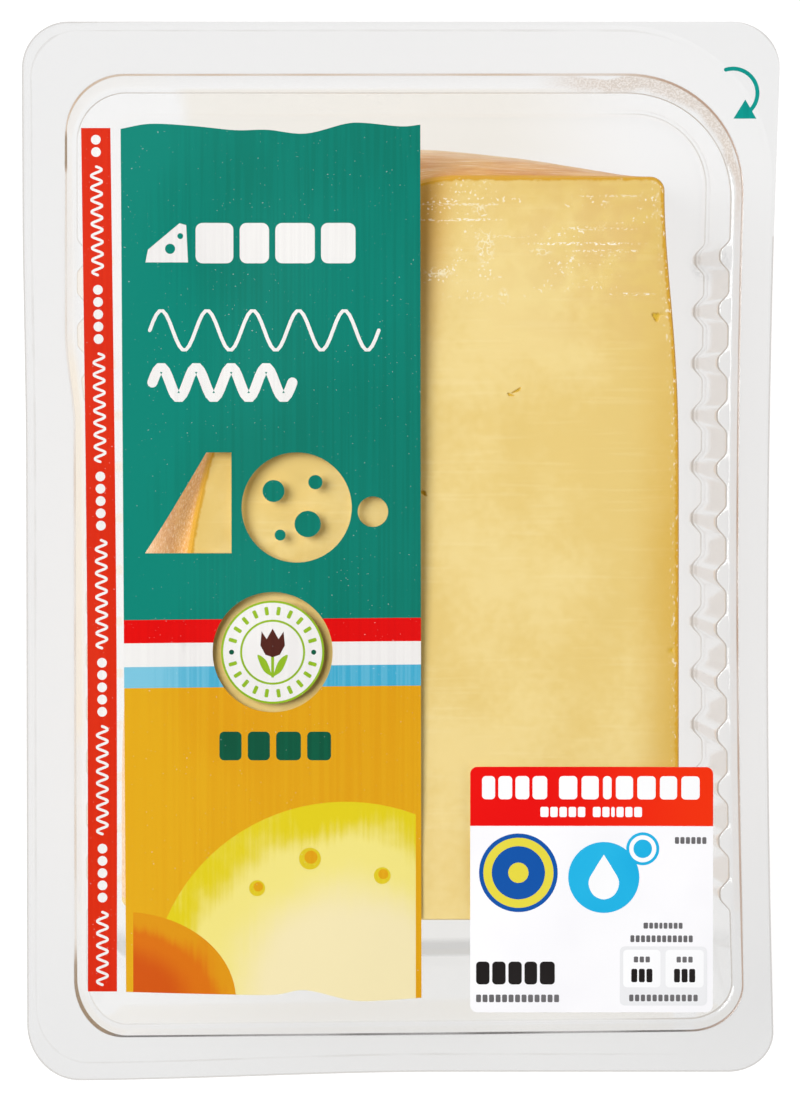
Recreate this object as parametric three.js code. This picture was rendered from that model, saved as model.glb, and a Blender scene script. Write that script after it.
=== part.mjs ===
// A piece of gouda cheese in a clear deep-drawn tray, closed by a lidding film with a label on it.
// Millimetres, +Z up. The pack lies on the tray's floor with the film on top. +Y is the end with
// the peel corner, +X is the side of that corner, and the origin is under the pack's middle.
import * as THREE from 'three';

// The pack and the flange that the film is sealed to.
const PACK = { width: 178.4, length: 250, height: 48 };
const PACK_CORNERS = [11.3, 11, 13.4, 11.8]; // radii: +X+Y, -X+Y, -X-Y, +X-Y
const RIGHT_BOW = { by: 2.5, at: -15, reach: 129 }; // the right side draws in round y = at
const LEFT_BEND = { by: 0.8, from: 90, over: 70 }; // the left one draws in towards the front
const FRONT_BEND = { by: 2.05, from: -80, over: 90 }; // and the front one towards the right
const FLANGE = { right: 8, back: 12.5, left: 10.4, front: 10.3 };
const SEAL = { inset: 0.8, peelRadius: 36.5, peelDrop: 0.6 }; // unsealed, dropped peel corner
const GAP = 0.3; // between pieces that rest on each other

// The tray: a thin shell with a stepped mouth, a narrow ledge and two corrugated long walls.
const SHELL = 0.6;
const MOUTH_CORNERS = [28, 14, 14, 13];
const MOUTH_BOW = 1.9; // the mouth's right side draws in by this at its middle
const WAIST = { by: 2, from: 52, over: 23 }; // its left side steps in towards the front
const MOUTH_TILT = 1.65; // its front side draws in by this towards the right
const RIM_ROUND = 0.6;
const STEP = { depth: 3, in: { right: 1.4, back: 3.7, left: 1.3, front: 1.5 } };
const LEDGE = { in: { right: 2.5, back: 4.6, left: 2.5, front: 2.6 }, fall: 0.3, round: 0.6 };
const FLOOR = { in: { right: 5.6, back: 6.6, left: 5.6, front: 14 }, round: 2.2 };
const FLOOR_CORNERS = [19, 10, 8, 8];
const FOLDS = { count: 12, from: -81.2, to: 70, depthTop: 2.35, depthFloor: 2.2 };
const FOLD = { valley: 0.7, ramp: 3.6 }; // half width of an inward crease, and the ramp beside it

// The film and the label.
const FILM = { thickness: 0.3, sag: 1.1, insets: [10, 28, 52], cornerLoss: 9 };
const SAG_REACH = { across: 0.25, along: 0.2 }; // share of the mouth in which the film sinks
const LABEL = { left: 16.4, right: 73.8, front: -108.8, back: -50.7, thickness: 0.25 };
const LABEL_SHAPE = { corner: 1.7, insets: [0, 10, 24], innerCorner: 0.4 };

// The cheese: a slab from a wheel, one cut face up, with the rounded rind at its left and back.
const CHEESE = { front: -87.1, right: 65.8, thickness: 42.2, fall: 4.5, frontCorner: 1.5 };
const CUT_FACE = { left: -52, back: 88.8, roundX: 67, roundY: 118, backCorner: 3.4, taper: 3.4 };
const TAPER_FROM = 0.55; // share of the right side, from the front, that stays straight
const FLANK = { left: -68.2, back: 96.9, roundX: 63.4, roundY: 158, swell: 0.5, foot: 2 };
const FLANK_CURVE = 1.7; // how fullness fades from the flank to the cut face
const LEVELS = [0.05, 0.2, 0.36, 0.52, 0.67, 0.8, 0.91, 1]; // heights of the rings, as shares

// How finely outlines are divided.
const CORNER_STEPS = 6;
const END_STEPS = 5;
const SIDE_SPAN = [0.15, 0.8]; // share of a sheet's length with side stations, clear of corners
const SHEET_STEPS = { film: 8, label: 4 };
const CHEESE_STEPS = { right: 8, corner: 4, back: 6, rind: 16, left: 4, front: 6, edge: 2 };
const TURN = Math.PI / 2;

const clamp01 = (t) => Math.min(1, Math.max(0, t));
const smooth = (t) => clamp01(t) ** 2 * (3 - 2 * clamp01(t));
const mix = (a, b, t) => a + (b - a) * t;

// ---- outlines -------------------------------------------------------------------------------

const packBox = {
  right: PACK.width / 2, back: PACK.length / 2, left: -PACK.width / 2, front: -PACK.length / 2,
};

function inset(box, by) {
  const d = typeof by === 'number' ? { right: by, back: by, left: by, front: by } : by;
  return {
    right: box.right - d.right, back: box.back - d.back,
    left: box.left + d.left, front: box.front + d.front,
  };
}

const straight = { right: () => 0, left: () => 0, front: () => 0 };

// The points of a rounded rectangle, anticlockwise from the front end of its right side.
// `ys` are the stations along both long sides. `draw.right(y)`, `draw.left(y)` and `draw.front(x)`
// say how far a side draws in there, and round a corner that fades out towards its other side.
function outline(box, radii, ys, draw = straight) {
  const [backRight, backLeft, frontLeft, frontRight] = radii;
  const points = ys.map((y) => [box.right - draw.right(y), y]);
  const corner = (cx, cy, r, quarter) => {
    for (let i = 0; i <= CORNER_STEPS; i += 1) {
      const a = TURN * (quarter + i / CORNER_STEPS);
      const [x, y] = [cx + r * Math.cos(a), cy + r * Math.sin(a)];
      const aside = Math.cos(a) > 0 ? draw.right(y) : draw.left(y);
      const front = draw.front(x) * Math.max(0, -Math.sin(a));
      points.push([x - aside * Math.cos(a), y + front]);
    }
  };
  const end = (from, to, y, front) => {
    for (let i = 1; i < END_STEPS; i += 1) {
      const x = mix(from, to, i / END_STEPS);
      points.push([x, y + front(x)]);
    }
  };
  corner(box.right - backRight, box.back - backRight, backRight, 0);
  end(box.right - backRight, box.left + backLeft, box.back, () => 0);
  corner(box.left + backLeft, box.back - backLeft, backLeft, 1);
  [...ys].reverse().forEach((y) => points.push([box.left + draw.left(y), y]));
  corner(box.left + frontLeft, box.front + frontLeft, frontLeft, 2);
  end(box.left + frontLeft, box.right - frontRight, box.front, draw.front);
  corner(box.right - frontRight, box.front + frontRight, frontRight, 3);
  return points;
}

const shrink = (radii, by) => radii.map((r) => r - by);

const mouthBox = inset(packBox, FLANGE);

// How far the sides of the pack and of its mouth draw in.
const packDraw = {
  right: (y) => RIGHT_BOW.by * (1 - ((y - RIGHT_BOW.at) / RIGHT_BOW.reach) ** 2),
  left: (y) => LEFT_BEND.by * smooth((LEFT_BEND.from - y) / LEFT_BEND.over),
  front: (x) => FRONT_BEND.by * smooth((x - FRONT_BEND.from) / FRONT_BEND.over),
};
const mouthDraw = {
  right: (y) => MOUTH_BOW * (1 - (y / mouthBox.back) ** 2),
  left: (y) => WAIST.by * smooth((WAIST.from - y) / WAIST.over),
  front: (x) => MOUTH_TILT * clamp01((x - mouthBox.left) / (mouthBox.right - mouthBox.left)),
};

// ---- closed bodies --------------------------------------------------------------------------

// Joins rings of equal length, each anticlockwise seen from above, and closes both ends.
function loft(rings) {
  const n = rings[0].length;
  const index = [];
  for (let k = 0; k + 1 < rings.length; k += 1) {
    for (let i = 0; i < n; i += 1) {
      const a = k * n + i;
      const b = k * n + ((i + 1) % n);
      index.push(a, b, b + n, a, b + n, a + n);
    }
  }
  const cap = (ring, first, flip) => {
    const flat = ring.map((p) => new THREE.Vector2(p.x, p.y));
    THREE.ShapeUtils.triangulateShape(flat, []).forEach(([a, b, c]) => {
      index.push(...(flip ? [a, c, b] : [a, b, c]).map((i) => first + i));
    });
  };
  cap(rings[0], 0, true);
  cap(rings[rings.length - 1], (rings.length - 1) * n, false);
  const geometry = new THREE.BufferGeometry();
  geometry.setFromPoints(rings.flat());
  geometry.setIndex(index);
  geometry.computeVertexNormals();
  return geometry;
}

const lift = (points, z) => points.map(([x, y]) => new THREE.Vector3(x, y, z));

// ---- tray -----------------------------------------------------------------------------------

// How far a long wall stands in at y: full depth at a crease, none on a fold and past the ends.
function crease(y) {
  const pitch = (FOLDS.to - FOLDS.from) / FOLDS.count;
  if (y < FOLDS.from - pitch / 2 || y > FOLDS.to + pitch / 2) return 0;
  const along = (y - FOLDS.from) / pitch;
  const away = Math.abs(along - Math.round(along)) * pitch;
  return 1 - smooth((away - FOLD.valley) / FOLD.ramp);
}

// Stations along a corrugated wall: each crease, both ends of its ramps and a point between.
function wallStations() {
  const pitch = (FOLDS.to - FOLDS.from) / FOLDS.count;
  const reach = FOLD.valley + FOLD.ramp;
  const steps = [-reach, -reach / 2, 0, reach / 2, reach];
  const creases = Array.from({ length: FOLDS.count + 1 }, (_, i) => FOLDS.from + i * pitch);
  return creases.flatMap((y) => steps.map((s) => y + s));
}

function peelDrop(ring) {
  const start = wallStations().length;
  ring.forEach((p, i) => {
    const t = (i - start) / CORNER_STEPS;
    if (t > 0 && t < 1) p.z -= SEAL.peelDrop * Math.sin(Math.PI * t);
  });
  return ring;
}

// The upper surface of the tray, from the flange's edge over the mouth and down to the floor.
function trayRings() {
  const top = PACK.height - LABEL.thickness - FILM.thickness - 2 * GAP;
  const ys = wallStations();
  const seal = inset(packBox, SEAL.inset);
  const sealCorners = [SEAL.peelRadius, ...shrink(PACK_CORNERS, SEAL.inset).slice(1)];
  const step = inset(mouthBox, STEP.in);
  const ledge = inset(mouthBox, LEDGE.in);
  const floor = inset(mouthBox, FLOOR.in);
  const wall = (depth) => ({
    right: (y) => mouthDraw.right(y) + depth * crease(y),
    left: (y) => mouthDraw.left(y) + depth * crease(y),
    front: mouthDraw.front,
  });
  const ring = (box, radii, z, draw = mouthDraw) => lift(outline(box, radii, ys, draw), z);
  const stepTop = top - STEP.depth;
  const ledgeTop = stepTop - LEDGE.fall;
  return [
    peelDrop(ring(packBox, PACK_CORNERS, top, packDraw)),
    ring(seal, sealCorners, top, packDraw),
    ring(inset(mouthBox, -RIM_ROUND), shrink(MOUTH_CORNERS, -RIM_ROUND), top),
    ring(mouthBox, MOUTH_CORNERS, top - RIM_ROUND / 2),
    ring(
      inset(mouthBox, RIM_ROUND / 2), shrink(MOUTH_CORNERS, RIM_ROUND / 2), top - 2 * RIM_ROUND,
    ),
    ring(step, shrink(MOUTH_CORNERS, STEP.in.right), stepTop),
    ring(ledge, shrink(MOUTH_CORNERS, LEDGE.in.right), ledgeTop, wall(FOLDS.depthTop)),
    ring(
      inset(ledge, LEDGE.round / 2), shrink(MOUTH_CORNERS, LEDGE.in.right + LEDGE.round / 2),
      ledgeTop - LEDGE.round, wall(FOLDS.depthTop),
    ),
    ring(
      inset(floor, -FLOOR.round / 2), shrink(FLOOR_CORNERS, -FLOOR.round / 2),
      SHELL + FLOOR.round, wall(FOLDS.depthFloor),
    ),
    ring(floor, FLOOR_CORNERS, SHELL + FLOOR.round / 4, wall(FOLDS.depthFloor)),
    ring(inset(floor, FLOOR.round / 2), shrink(FLOOR_CORNERS, FLOOR.round / 2), SHELL,
      wall(FOLDS.depthFloor)),
    ring(inset(floor, FLOOR.round), shrink(FLOOR_CORNERS, FLOOR.round), SHELL,
      wall(FOLDS.depthFloor)),
  ];
}

// The lower surface: every point of the upper one moved one thickness along its normal.
function underside(rings) {
  const unit = (a, b) => new THREE.Vector3().subVectors(b, a).normalize();
  return rings.map((ring, k) => ring.map((p, i) => {
    if (k === 0 || k === rings.length - 1) return new THREE.Vector3(p.x, p.y, p.z - SHELL);
    const next = ring[(i + 1) % ring.length];
    const last = ring[(i + ring.length - 1) % ring.length];
    const around = unit(last, p).add(unit(p, next));
    const inward = unit(rings[k - 1][i], p).add(unit(p, rings[k + 1][i]));
    const normal = new THREE.Vector3().crossVectors(around, inward).normalize();
    return p.clone().addScaledVector(normal, -SHELL);
  }));
}

function tray() {
  const upper = trayRings();
  return loft([...underside(upper).reverse(), ...upper]);
}

// ---- film and label -------------------------------------------------------------------------

const filmTop = PACK.height - LABEL.thickness - GAP;

// The film lies flat on the flange and sags a little over the cavity.
function filmSag(x, y) {
  const { right, back, left, front } = mouthBox;
  const across = Math.min(x - left, right - x) / (right - left);
  const along = Math.min(y - front, back - y) / (back - front);
  return FILM.sag * smooth(across / SAG_REACH.across) * smooth(along / SAG_REACH.along);
}

function sheet(rings, thickness) {
  const lower = rings.map((ring) => ring.map((p) => new THREE.Vector3(p.x, p.y, p.z - thickness)));
  return loft([...lower.reverse(), ...rings]);
}

// Stations along both long sides of a box, clear of its corners.
const sideStations = (box, n) => Array.from({ length: n + 1 }, (_, i) => (
  mix(box.front, box.back, mix(...SIDE_SPAN, i / n))
));

function film() {
  const inner = FILM.insets.map((d) => {
    const box = inset(mouthBox, d);
    const corners = shrink(MOUTH_CORNERS, Math.min(d, FILM.cornerLoss));
    return outline(box, corners, sideStations(box, SHEET_STEPS.film)).map(
      ([x, y]) => new THREE.Vector3(x, y, filmTop - filmSag(x, y)),
    );
  });
  const flat = (box, corners, draw) => (
    lift(outline(box, corners, sideStations(box, SHEET_STEPS.film), draw), filmTop)
  );
  return sheet([
    flat(packBox, PACK_CORNERS, packDraw),
    flat(mouthBox, MOUTH_CORNERS),
    ...inner,
  ], FILM.thickness);
}

function label() {
  const { corner, innerCorner, insets } = LABEL_SHAPE;
  const rings = insets.map((d) => {
    const box = inset(LABEL, d);
    const corners = Array(4).fill(d ? innerCorner : corner);
    return outline(box, corners, sideStations(box, SHEET_STEPS.label)).map(([x, y]) => (
      new THREE.Vector3(x, y, PACK.height - filmSag(x, y))
    ));
  });
  return sheet(rings, LABEL.thickness);
}

// ---- cheese ---------------------------------------------------------------------------------

const spread = (n, f) => Array.from({ length: n }, (_, i) => f(i / n));

// Both outlines of the cheese, as pairs of points: on the cut face and on the flank round it.
// Each starts at the front of the right side and goes anticlockwise.
function cheeseOutlines() {
  const { front, right, frontCorner: r } = CHEESE;
  const { swell } = FLANK;
  const backRight = right - CUT_FACE.taper;
  const shoulder = CUT_FACE.back - CUT_FACE.backCorner;
  const faceEnd = CUT_FACE.left + CUT_FACE.roundX;
  const flankEnd = FLANK.left + FLANK.roundX;
  const arc = (cx, cy, rx, ry, a) => [cx + rx * Math.cos(a), cy + ry * Math.sin(a)];
  const both = (p) => [p, [p[0], p[1] - swell]];
  const taperShare = (t) => smooth((t - TAPER_FROM) / (1 - TAPER_FROM)) ** 2;
  const rightEdge = (t) => right - CUT_FACE.taper * taperShare(t);
  const nearEdge = (t) => [rightEdge(t), mix(front + r, shoulder, t)];
  const swellOut = ([x, y]) => [[x, y], [x + swell, y]];
  const c = CUT_FACE.backCorner;
  return [
    ...spread(CHEESE_STEPS.right, nearEdge).map(swellOut),
    ...spread(CHEESE_STEPS.corner, (t) => {
      const p = arc(backRight - c, shoulder, c, c, TURN * t);
      return [p, [p[0] + swell, p[1] + swell]];
    }),
    ...spread(CHEESE_STEPS.back, (t) => {
      const out = Math.sin(TURN * t);
      return [
        [mix(backRight - c, faceEnd, t), CUT_FACE.back],
        [mix(backRight - c, flankEnd, t), mix(CUT_FACE.back + swell, FLANK.back, out)],
      ];
    }),
    ...spread(CHEESE_STEPS.rind, (t) => {
      const a = TURN * (1 + t);
      return [
        arc(faceEnd, CUT_FACE.back - CUT_FACE.roundY, CUT_FACE.roundX, CUT_FACE.roundY, a),
        arc(flankEnd, FLANK.back - FLANK.roundY, FLANK.roundX, FLANK.roundY, a),
      ];
    }),
    ...spread(CHEESE_STEPS.left, (t) => [
      [CUT_FACE.left, mix(CUT_FACE.back - CUT_FACE.roundY, front + r, t)],
      [FLANK.left, mix(FLANK.back - FLANK.roundY, front + r, t)],
    ]),
    ...spread(CHEESE_STEPS.edge, (t) => {
      const a = TURN * (2 + t);
      return [
        arc(CUT_FACE.left + r, front + r, r, r, a),
        arc(FLANK.left + r, front + r - swell, r, r, a),
      ];
    }),
    ...spread(CHEESE_STEPS.front, (t) => [
      [mix(CUT_FACE.left + r, right - r, t), front],
      [mix(FLANK.left + r, right - r, t), front - swell],
    ]),
    ...spread(CHEESE_STEPS.edge, (t) => both(
      arc(right - r, front + r, r, r, TURN * (3 + t)),
    )),
  ];
}

function cheese() {
  const foot = SHELL + GAP;
  const outlines = cheeseOutlines();
  const middle = (CUT_FACE.back + CHEESE.front) / 2;
  const length = CUT_FACE.back - CHEESE.front;
  const faceZ = (y) => foot + CHEESE.thickness - (CHEESE.fall * (y - middle)) / length;
  const ring = (up, shrinkBy) => outlines.map(([face, flank]) => {
    const full = 1 - up ** FLANK_CURVE;
    const x = mix(face[0], flank[0], full) * (1 - shrinkBy / PACK.width);
    const y = mix(face[1], flank[1], full) * (1 - shrinkBy / PACK.length);
    return new THREE.Vector3(x, y, mix(foot, faceZ(y), up));
  });
  return loft([ring(0, 2 * FLANK.foot), ...LEVELS.map((up) => ring(up, 0))]);
}

// ---- the pack -------------------------------------------------------------------------------

const clear = { transparent: true, opacity: 0.35 };
const finishes = {
  tray: { color: 0xe6e8e8, roughness: 0.1, metalness: 0, ...clear },
  film: { color: 0xf2f4f4, roughness: 0.06, metalness: 0, ...clear },
  cheese: { color: 0xe8d086, roughness: 0.5, metalness: 0 },
  label: { color: 0xf4f2f5, roughness: 0.4, metalness: 0 },
};

const pack = new THREE.Group();
for (const [name, make] of Object.entries({ tray, film, cheese, label })) {
  const mesh = new THREE.Mesh(make(), new THREE.MeshStandardMaterial(finishes[name]));
  mesh.name = name;
  pack.add(mesh);
}

export default pack;
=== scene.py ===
"""A piece of gouda cheese in a clear sealed tray, with a printed film and a square label.

Lengths are millimetres until a mesh is made, and metres in Blender. +Z is up, out of the film,
+Y is the end with the peel corner, and the origin is under the pack's middle.
"""
import math

import bmesh
import bpy
import numpy as np
from mathutils import Matrix, Vector, geometry, noise


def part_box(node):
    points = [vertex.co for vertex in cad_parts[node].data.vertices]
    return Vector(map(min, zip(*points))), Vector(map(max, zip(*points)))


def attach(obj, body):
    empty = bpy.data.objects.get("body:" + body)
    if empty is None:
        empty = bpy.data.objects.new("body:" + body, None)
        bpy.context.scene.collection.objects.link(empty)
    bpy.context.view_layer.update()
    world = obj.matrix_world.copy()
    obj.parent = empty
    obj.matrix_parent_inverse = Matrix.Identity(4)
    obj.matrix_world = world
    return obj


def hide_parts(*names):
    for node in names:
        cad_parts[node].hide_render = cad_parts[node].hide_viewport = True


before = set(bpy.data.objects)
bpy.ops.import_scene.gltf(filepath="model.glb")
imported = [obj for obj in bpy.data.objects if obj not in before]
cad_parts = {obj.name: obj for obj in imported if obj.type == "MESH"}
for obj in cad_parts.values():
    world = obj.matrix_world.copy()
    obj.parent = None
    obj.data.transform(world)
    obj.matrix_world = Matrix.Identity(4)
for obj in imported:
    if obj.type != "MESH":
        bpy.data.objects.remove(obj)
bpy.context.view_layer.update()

MM = 0.001

# ---- driving dimensions, as in the solids ---------------------------------------------------

PACK_LOW, PACK_HIGH = (np.array(corner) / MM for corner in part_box("tray"))
PACK = {"right": PACK_HIGH[0], "back": PACK_HIGH[1], "left": PACK_LOW[0], "front": PACK_LOW[1]}
FLANGE_TOP = PACK_HIGH[2]
PACK_CORNERS = (11.3, 11, 13.4, 11.8)  # radii at +X+Y, -X+Y, -X-Y and +X-Y
RIGHT_BOW = {"by": 2.5, "at": -15, "reach": 129}  # the right side draws in round y = at
LEFT_BEND = {"by": 0.8, "from": 90, "over": 70}  # the left one draws in towards the front
FRONT_BEND = {"by": 2.05, "from": -80, "over": 90}  # and the front one towards the right
FLANGE = (8, 12.5, 10.4, 10.3)  # width at the right, back, left and front
SEAL_INSET = 0.8
PEEL_RADIUS, PEEL_DROP = 36.5, 0.6
PRESS_IN = (2.2, 2.1, 2.1, 4.2)  # a second faint line, from the sealing press

MOUTH_CORNERS = (28, 14, 14, 13)
MOUTH_BOW = 1.9  # the mouth's right side draws in by this at its middle
WAIST_BY, WAIST_FROM, WAIST_OVER = 2, 52, 23  # its left side steps in towards the front
MOUTH_TILT = 1.65  # its front side draws in by this towards the right
STEP_DEPTH = 3
STEP_IN = (1.4, 3.5, 1.3, 1.5)
LEDGE_IN = (2.5, 4.2, 2.5, 2.6)
LEDGE_FALL = 0.3
FLOOR_IN = (5.6, 6.6, 5.6, 14)
FLOOR_CORNERS = (19, 10, 8, 8)
TRAY_SKIN = 0.5
FOLD_COUNT, FOLDS_FROM, FOLDS_TO = 12, -81.2, 70
FOLD_PITCH = (FOLDS_TO - FOLDS_FROM) / FOLD_COUNT
FOLD_DEPTH_TOP, FOLD_DEPTH_FLOOR = 2.35, 2.2
FOLD_VALLEY, FOLD_RAMP = 0.7, 3.6
WALL_RINGS = 9
FOLD_RUN_OUT, FOLD_STATION = 4.4, 0.55  # stations along the long walls, past the last fold
RIM_ROUND, STEP_ROUND, LEDGE_ROUND, FOOT_ROUND = 0.7, 0.5, 0.7, 2.6
FLOOR_SHARES = (0.12, 0.3, 0.5, 0.7, 0.88)  # rings of the floor, on the way to its middle

FILM_SKIN = 0.12
FILM_GAP = 0.05
FILM_SAG = 1.1
SAG_ACROSS, SAG_ALONG = 0.25, 0.2
FILM_GRID, LABEL_GRID = 3.2, 2.5
PRINT_SKIN, PRINT_GAP = 0.04, 0.01
LABEL = {"right": 73.8, "back": -50.7, "left": 16.4, "front": -108.8}
LABEL_SKIN, LABEL_GAP = 0.16, 0.02
LABEL_PRINT_SKIN, LABEL_PRINT_LIFT = 0.02, 0.03
LABEL_CORNER = 1.7

CHEESE_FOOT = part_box("cheese")[0][2] / MM
CHEESE_FRONT, CHEESE_RIGHT, CHEESE_THICK, CHEESE_FALL = -87.1, 65.8, 42.2, 4.5
CHEESE_CORNER = 1.5
CHEESE_BEVEL = 0.3
FACE = {"left": -52, "back": 88.8, "round_x": 67, "round_y": 118, "corner": 3.4, "taper": 3.4}
TAPER_FROM = 0.55
FLANK = {"left": -68.2, "back": 96.9, "round_x": 63.4, "round_y": 158, "swell": 0.5}
FLANK_CURVE = 1.7

QUARTER = math.pi / 2


# ---- small helpers --------------------------------------------------------------------------

def smooth(t):
    t = np.clip(t, 0, 1)
    return t * t * (3 - 2 * t)


def mix(a, b, t):
    return a + (b - a) * t


def inset(box, by):
    """A box drawn in by one number, or by four: right, back, left and front."""
    right, back, left, front = (by,) * 4 if np.isscalar(by) else by
    return {"right": box["right"] - right, "back": box["back"] - back,
            "left": box["left"] + left, "front": box["front"] + front}


def lump(x, y, size, seed, octaves=2):
    """Soft noise from -1 to 1 over the plane, the same each run."""
    value = np.empty(np.broadcast(x, y).shape)
    for at in np.ndindex(value.shape):
        spot = Vector((x[at] / size, y[at] / size, seed))
        value[at] = noise.fractal(spot, 1.0, 2.0, octaves)
    return value


MOUTH = inset(PACK, FLANGE)


def rounded(box, radii, ys, corner_steps, end_steps, draw=None):
    """Points of a rounded rectangle, anticlockwise from the front end of its right side.

    ys are the stations along both long sides. draw gives three functions that say how far the
    right and the left side draw in at y, and the front side at x. Round a corner that fades out.
    """
    def corner(cx, cy, radius, quarter):
        a = QUARTER * (quarter + np.linspace(0, 1, corner_steps + 1))
        out = np.cos(a), np.sin(a)
        return np.stack([cx + radius * out[0], cy + radius * out[1], *out], 1)

    def side(x, y, way):
        return np.stack([x + 0 * y, y, way + 0 * y, 0 * y], 1)

    def end(start, stop, y, way):
        x = np.linspace(start, stop, end_steps + 1)[1:-1]
        return np.stack([x, y + 0 * x, 0 * x, way + 0 * x], 1)

    back_right, back_left, front_left, front_right = radii
    x, y, across, along = np.concatenate([
        side(box["right"], ys, 1),
        corner(box["right"] - back_right, box["back"] - back_right, back_right, 0),
        end(box["right"] - back_right, box["left"] + back_left, box["back"], 1),
        corner(box["left"] + back_left, box["back"] - back_left, back_left, 1),
        side(box["left"], ys[::-1], -1),
        corner(box["left"] + front_left, box["front"] + front_left, front_left, 2),
        end(box["left"] + front_left, box["right"] - front_right, box["front"], -1),
        corner(box["right"] - front_right, box["front"] + front_right, front_right, 3),
    ]).T
    if draw:
        right, left, front = draw
        in_x = np.maximum(-across, 0) * left(y) - np.maximum(across, 0) * right(y)
        x, y = x + in_x, y + np.maximum(-along, 0) * front(x)
    return np.stack([x, y], 1)


def shrink(radii, by):
    return tuple(r - by for r in radii)


# How far the sides of the pack and of its mouth draw in.
PACK_DRAW = (
    lambda y: RIGHT_BOW["by"] * (1 - ((y - RIGHT_BOW["at"]) / RIGHT_BOW["reach"]) ** 2),
    lambda y: LEFT_BEND["by"] * smooth((LEFT_BEND["from"] - y) / LEFT_BEND["over"]),
    lambda x: FRONT_BEND["by"] * smooth((x - FRONT_BEND["from"]) / FRONT_BEND["over"]),
)
MOUTH_DRAW = (
    lambda y: MOUTH_BOW * (1 - (y / MOUTH["back"]) ** 2),
    lambda y: WAIST_BY * smooth((WAIST_FROM - y) / WAIST_OVER),
    lambda x: MOUTH_TILT * np.clip((x - MOUTH["left"]) / (MOUTH["right"] - MOUTH["left"]), 0, 1),
)


def at_height(points, z):
    """Points of the plan with a third coordinate, which may differ from point to point."""
    return np.column_stack([points, np.broadcast_to(z, len(points))])


# ---- meshes ---------------------------------------------------------------------------------

def add_object(name, data):
    """A new object in the scene."""
    made = bpy.data.objects.new(name, data)
    bpy.context.scene.collection.objects.link(made)
    return made


def make_piece(name, verts, faces, materials, replaces=None, material_ids=None):
    """A smooth mesh object in metres that rides on the pack."""
    mesh = bpy.data.meshes.new(name)
    mesh.from_pydata((np.asarray(verts) * MM).tolist(), [], [tuple(map(int, f)) for f in faces])
    mesh.validate()
    for material in materials:
        mesh.materials.append(material)
    if material_ids is not None:
        mesh.polygons.foreach_set("material_index", np.asarray(material_ids, np.int32))
    mesh.shade_smooth()
    piece = add_object(name, mesh)
    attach(piece, "root")
    if replaces:
        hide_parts(replaces)
    return piece


def crisp(piece, limit, join=None):
    """Makes edges sharp that turn by more than limit degrees, and faces of many sides flat.

    join is the distance, in millimetres, within which points are made one first.
    """
    work = bmesh.new()
    work.from_mesh(piece.data)
    if join:
        bmesh.ops.remove_doubles(work, verts=work.verts, dist=join * MM)
    for edge in work.edges:
        if len(edge.link_faces) == 2 and edge.calc_face_angle(0) > math.radians(limit):
            edge.smooth = False
    for face in work.faces:
        face.smooth = len(face.verts) <= 4
    work.to_mesh(piece.data)
    work.free()


def ring_faces(n_rings, n, first=0):
    """Quads between rings of n points each, facing out where each ring runs anticlockwise."""
    k, i = np.meshgrid(np.arange(n_rings - 1), np.arange(n), indexing="ij")
    a = first + k * n + i
    b = first + k * n + (i + 1) % n
    return np.stack([a, b, b + n, a + n], -1).reshape(-1, 4)


def triangulate(loops, inner_points):
    """Delaunay triangles over loops of points, which stay edges, and loose points between."""
    points, edges = [], []
    for loop in loops:
        first = len(points)
        points += [Vector((float(x), float(y))) for x, y in loop]
        edges += [(first + i, first + (i + 1) % len(loop)) for i in range(len(loop))]
    points += [Vector((float(x), float(y))) for x, y in inner_points]
    found = geometry.delaunay_2d_cdt(points, edges, [], 0, 1e-4)
    return np.array([tuple(p) for p in found[0]]), np.array([tuple(f) for f in found[2]])


def is_inside(polygon, x, y):
    """Which points lie in a closed polygon."""
    polygon = np.asarray(polygon, float)
    inside = np.zeros(np.shape(x), bool)
    x1, y1 = polygon[-1]
    for x2, y2 in polygon:
        crosses = (y1 > y) != (y2 > y)
        if y1 != y2:
            inside ^= crosses & (x < (x2 - x1) * (y - y1) / (y2 - y1) + x1)
        x1, y1 = x2, y2
    return inside


def dense(polygon, step):
    """The same polygon with points no further apart than step."""
    polygon = np.asarray(polygon, float)
    out = []
    for a, b in zip(polygon, np.roll(polygon, -1, 0)):
        n = max(1, math.ceil(np.linalg.norm(b - a) / step))
        out += [mix(a, b, i / n) for i in range(n)]
    return np.array(out)


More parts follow.
